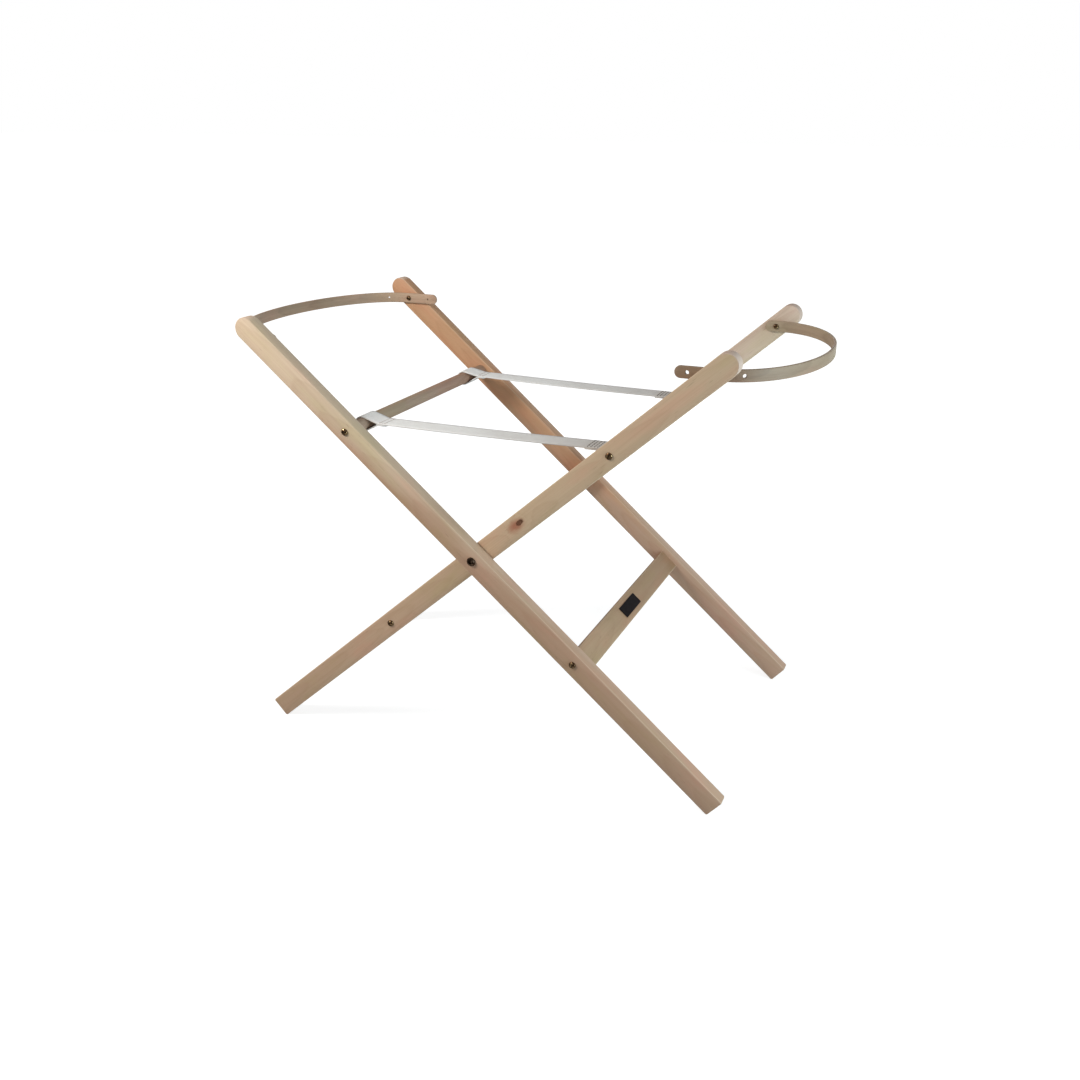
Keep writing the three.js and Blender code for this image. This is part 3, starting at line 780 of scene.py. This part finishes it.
colour = blend_colour(tree, times(tree, selvedge, 0.3), colour, given["Shade"])
# The webbing is mixed towards that darker grey by an amount given from outside, varied a little by the soil
# noise.
greying = times(tree, given["Greying"], plus(tree, times(tree, soil, 0.5), 0.75))
colour = blend_colour(tree, greying, colour, GREYING_TONE)
tree.links.new(colour, result["Color"])
tree.links.new(plus(tree, 0.82, times(tree, fuzz, 0.15)), result["Roughness"])
height = plus(tree, times(tree, weave, 0.6), times(tree, ridge, 0.4))
height = plus(tree, height, times(tree, fuzz, 0.3))
tree.links.new(plus(tree, height, times(tree, selvedge, 0.5)), result["Height"])

cotton, tree, shader = new_material(
    "cotton_webbing", Sheen_Weight=0.25, Sheen_Roughness=0.5, Specular_IOR_Level=0.2,
)
weave_place = add_node(tree, "UVMap", uv_map="weave").outputs[0]
webbing = add_node(tree, "Group", node_tree=webbing_group)
tree.links.new(weave_place, webbing.inputs["Weave"])
here = add_node(tree, "SeparateXYZ", {0: add_node(tree, "TexCoord").outputs["Object"]}).outputs
# The webbing turns greyer and darker towards its right end, from x = -0.04 to x = 0.13, up to half way.
greying_inputs = {"Value": here[0], "From Min": -0.04, "From Max": 0.13, "To Max": 0.5}
greying = add_node(tree, "MapRange", greying_inputs).outputs[0]
tree.links.new(greying, webbing.inputs["Greying"])
cotton_looks = {"Yarn": srgb(253, 252, 249), "Shade": srgb(218, 213, 207), "Width": WEBBING_WIDTH}
for socket, value in cotton_looks.items():
    webbing.inputs[socket].default_value = value
tree.links.new(webbing.outputs["Color"], shader.inputs["Base Color"])
tree.links.new(webbing.outputs["Roughness"], shader.inputs["Roughness"])
bump = add_node(tree, "Bump", {"Height": webbing.outputs["Height"], "Strength": 0.7, "Distance": 0.0004})
tree.links.new(bump.outputs[0], shader.inputs["Normal"])

thread = {}
# The thread of the right-hand zigzag seams is much darker than that of the left-hand box seams.
for body, (dark, light) in {
    "outer_frame": (srgb(158, 138, 126), srgb(206, 192, 182)),
    "inner_frame": (srgb(92, 80, 68), srgb(150, 136, 120)),
}.items():
    thread[body], tree, shader = new_material("sewing_thread_" + body, Sheen_Weight=0.2)
    thread_place = add_node(tree, "TexCoord").outputs["Object"]
    ply_inputs = {"Vector": thread_place, "Scale": 900.0, "Distortion": 2.0}
    ply = add_node(tree, "TexWave", ply_inputs).outputs["Fac"]
    tree.links.new(blend_colour(tree, ply, dark, light), shader.inputs["Base Color"])
    tree.links.new(plus(tree, 0.7, times(tree, ply, 0.2)), shader.inputs["Roughness"])
    bump = add_node(tree, "Bump", {"Height": ply, "Strength": 0.5, "Distance": 0.0002})
    tree.links.new(bump.outputs[0], shader.inputs["Normal"])


def round_rail(rail, side, rise):
    """The junction, and the webbing's middle line from under it, round the rail and back over the top.
    side is -1 at the left rail. Points are (x, z)."""
    centre = Vector((middle(rail).x, middle(rail).z))
    to_tip = Vector((-side * TIP_REACH[side], rise))
    lean = math.atan2(to_tip.y, to_tip.x)
    radius = RAIL_RADIUS + LOOP_CLEARANCE
    leaves = math.acos(radius / to_tip.length)
    loop = []
    for i in range(LOOP_STEPS + 1):
        turn = lean + side * (leaves + 2 * (math.pi - leaves) * i / LOOP_STEPS)
        loop.append(centre + radius * Vector((math.cos(turn), math.sin(turn))))
    return centre + to_tip, loop


def webbing_line(left_rise):
    """Both junctions and the strap's middle line, from the left tail round both rails to the right tail."""
    left_tip, left_loop = round_rail("outer_upper_rail", -1, left_rise)
    right_tip, right_loop = round_rail("inner_upper_rail", 1, RIGHT_RISE)
    half = WEBBING_THICKNESS / 2 + PLY_GAP
    down, up = Vector((0, -half)), Vector((0, half))
    run = right_tip - left_tip
    level = run.normalized()
    line = [left_tip + level * TAILS[-1] * share + down for share in (1, 0.5, 0)]
    line += left_loop
    line.append(left_tip + up)
    for i in range(1, RUN_STEPS):
        share = i / RUN_STEPS
        line.append(left_tip + run * share + up + Vector((0, -RUN_SAG * math.sin(math.pi * share))))
    line.append(right_tip + up)
    line += list(reversed(right_loop))
    line += [right_tip - level * TAILS[1] * share + down for share in (0, 0.5, 1)]
    return left_tip, right_tip, line


def slant(mesh, y, twist, skew):
    """The slight twist of the stretched run, which dies away before both rails, and its skew."""
    for vertex in mesh.verts:
        left = min(max((vertex.co.x - TWIST_START) / LEFT_FADE, 0), 1)
        right = min(max((TWIST_STOP - vertex.co.x) / RIGHT_FADE, 0), 1)
        vertex.co.z -= twist * left * right * (vertex.co.y - y) / (WEBBING_WIDTH / 2)
        vertex.co.y += skew * vertex.co.x


def strap_mesh(line, y):
    """Webbing that follows a line in X and Z and is flat across Y, with its own map of the weave."""
    mesh = bmesh.new()
    row = [mesh.verts.new((p.x, y - WEBBING_WIDTH / 2, p.y)) for p in line]
    edges = [mesh.edges.new(pair) for pair in zip(row, row[1:])]
    travelled = {v: sum((line[i + 1] - line[i]).length for i in range(n)) for n, v in enumerate(row)}
    lengths = [travelled[v] for v in row]
    for _ in range(WIDTH_STEPS):
        grown = bmesh.ops.extrude_edge_only(mesh, edges=edges)["geom"]
        moved = [g for g in grown if isinstance(g, bmesh.types.BMVert)]
        bmesh.ops.translate(mesh, vec=(0, WEBBING_WIDTH / WIDTH_STEPS, 0), verts=moved)
        edges = [g for g in grown if isinstance(g, bmesh.types.BMEdge) and len(g.link_faces) == 1
                 and abs(g.verts[0].co.y - g.verts[1].co.y) < 1e-6]
    weave_map = mesh.loops.layers.uv.new("weave")
    for face in mesh.faces:
        for loop in face.loops:
            spot = Vector((loop.vert.co.x, loop.vert.co.z))
            nearest = min(range(len(line)), key=lambda i: (line[i] - spot).length)
            loop[weave_map].uv = (lengths[nearest], loop.vert.co.y - y + WEBBING_WIDTH / 2)
        face.smooth = True
    return mesh, lengths[-1]


THREAD_RADIUS = 0.00035
BOX_REACH_ALONG, BOX_REACH_ACROSS, BOX_SIDE, BOX_STITCH = 0.0035, 0.012, 0.0066, 0.0016
ZIGZAG_ROW_GAP, ZIGZAG_PITCH, ZIGZAG_LEAN, ZIGZAG_STITCH = 0.0042, 0.0029, 0.95, 0.0021
BOX_FROM_TIP, ZIGZAG_FROM_TIP = 0.005, -0.0095


def stitch_bars(rows, centre, slope, y):
    """Bars of thread on both faces of the webbing: each row is (along, across, turn, half length)."""
    mesh = bmesh.new()
    for along, across, turn, half_length in rows:
        for lift in (-1, 1):
            bar = bmesh.ops.create_uvsphere(mesh, u_segments=8, v_segments=6, radius=1)["verts"]
            bmesh.ops.scale(mesh, vec=(half_length, THREAD_RADIUS, THREAD_RADIUS), verts=bar)
            bmesh.ops.rotate(mesh, cent=(0, 0, 0), matrix=Matrix.Rotation(turn, 3, "Z"), verts=bar)
            bmesh.ops.translate(mesh, vec=(along, across, lift * (WEBBING_THICKNESS + PLY_GAP)), verts=bar)
    bmesh.ops.rotate(mesh, cent=(0, 0, 0), matrix=Matrix.Rotation(-slope, 3, "Y"), verts=mesh.verts)
    bmesh.ops.translate(mesh, vec=(centre.x, y, centre.y), verts=mesh.verts)
    for face in mesh.faces:
        face.smooth = True
    return mesh


BOX_ROWS = []
for edge in (-1, 1):
    BOX_ROWS += [((i / 2 - 0.5) * BOX_SIDE, edge * BOX_REACH_ACROSS, 0, BOX_STITCH) for i in range(3)]
    BOX_ROWS += [
        (edge * BOX_REACH_ALONG, (i / 7 - 0.5) * 2 * BOX_REACH_ACROSS, math.pi / 2, BOX_STITCH)
        for i in range(8)
    ]
ZIGZAG_ROWS = []
for row in range(4):
    for i in range(10):
        lean = ZIGZAG_LEAN if i % 2 else -ZIGZAG_LEAN
        ZIGZAG_ROWS.append(((row - 1.5) * ZIGZAG_ROW_GAP, (i - 4.5) * ZIGZAG_PITCH, lean, ZIGZAG_STITCH))

for end, strap_shape in STRAPS.items():
    node = "strap_" + end
    twist, skew = strap_shape["twist"], strap_shape["skew"]
    y = middle(node).y
    left_tip, right_tip, line = webbing_line(strap_shape["left_rise"])
    slope = math.atan2(right_tip.y - left_tip.y, right_tip.x - left_tip.x)
    mesh, length = strap_mesh(line, y)
    slant(mesh, y, twist, skew)
    strap = new_piece("webbing_" + end, mesh, cotton)
    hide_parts(node)
    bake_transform(strap)
    thickness = strap.modifiers.new("thickness", "SOLIDIFY")
    thickness.thickness = WEBBING_THICKNESS
    thickness.offset = 0
    for tip, along, rows, body in (
        (left_tip, BOX_FROM_TIP, BOX_ROWS, "outer_frame"),
        (right_tip, ZIGZAG_FROM_TIP, ZIGZAG_ROWS, "inner_frame"),
    ):
        stitches = stitch_bars(rows, tip + Vector((along, along * math.tan(slope))), slope, y)
        slant(stitches, y, twist, skew)
        seam = new_piece(f"seam_{end}_{body}", stitches, thread[body])
        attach(seam, body)

# Patch: a blank black vinyl patch with rounded corners and a pebbled face, stuck on the outer lower
# rail's broad face, in the middle.
PATCH_LENGTH, PATCH_WIDTH, PATCH_THICKNESS = 0.058, 0.0165, 0.0004
PATCH_CORNER, PATCH_RIM = 0.0012, 0.00012
vinyl, tree, shader = new_material("black_vinyl", Specular_IOR_Level=0.05)
vinyl_place = add_node(tree, "TexCoord").outputs["Object"]
pebble = add_node(tree, "TexVoronoi", {"Vector": vinyl_place, "Scale": 1400.0}).outputs["Distance"]
rub = add_node(tree, "TexNoise", {"Vector": vinyl_place, "Scale": 90.0, "Detail": 4.0}).outputs["Fac"]
rubbed = step_between(tree, rub, 0.4, 0.75)
vinyl_colour = blend_colour(tree, rubbed, srgb(17, 12, 13), srgb(32, 25, 27))
tree.links.new(vinyl_colour, shader.inputs["Base Color"])
tree.links.new(plus(tree, 0.45, times(tree, rub, 0.3)), shader.inputs["Roughness"])
bump = add_node(tree, "Bump", {"Height": pebble, "Strength": 0.25, "Distance": 0.0001})
tree.links.new(bump.outputs[0], shader.inputs["Normal"])
patch = bmesh.new()
bmesh.ops.create_cube(patch, size=1)
bmesh.ops.scale(patch, vec=(PATCH_THICKNESS, PATCH_LENGTH, PATCH_WIDTH), verts=patch.verts)
upright = [e for e in patch.edges if abs(e.verts[0].co.x - e.verts[1].co.x) > 1e-6]
bmesh.ops.bevel(
    patch, geom=upright, offset=PATCH_CORNER, segments=5, profile=0.5, affect="EDGES", material=-1,
)
rims = [e for e in patch.edges if e.calc_face_angle() > 1.0]
bmesh.ops.bevel(patch, geom=rims, offset=PATCH_RIM, segments=2, profile=0.5, affect="EDGES", material=-1)
bmesh.ops.rotate(patch, cent=(0, 0, 0), matrix=Matrix.Rotation(-LEG_TILT, 3, "Y"), verts=patch.verts)
bmesh.ops.translate(patch, vec=middle("rail_patch"), verts=patch.verts)
piece = new_piece("blank_patch", patch, vinyl)
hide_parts("rail_patch")
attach(piece, "outer_frame")
